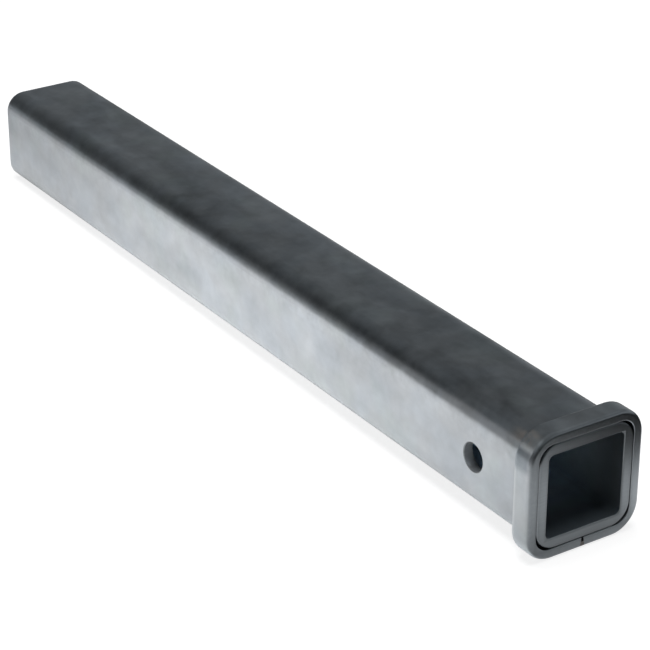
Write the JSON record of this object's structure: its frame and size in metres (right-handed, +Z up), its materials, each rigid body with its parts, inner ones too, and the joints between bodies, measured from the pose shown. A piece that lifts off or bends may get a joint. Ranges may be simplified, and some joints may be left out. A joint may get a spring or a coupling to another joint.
{
  "type": "hitch receiver tube",
  "caption": "Square steel receiver tube with a reinforcing collar welded round its mouth and a hitch pin hole through both side walls.",
  "frame": {"origin": "where the hitch pin's axis crosses the tube's axis", "axes": "+X along the tube and out of its mouth, +Y along the pin hole, +Z up with the collar's seam underneath"},
  "size_m": [0.6096, 0.0768, 0.0768],
  "materials": {
    "tube_steel": "raw mill finish, cloudy grey",
    "collar_steel": "raw mill finish, bent flat bar",
    "weld_metal": "as welded"
  },
  "bodies": {
    "root": {"receiver_tube": "tube_steel", "reinforcing_collar": "collar_steel", "collar_seam_weld": "weld_metal", "collar_fillet_weld": "weld_metal"}
  },
  "joints": []
}
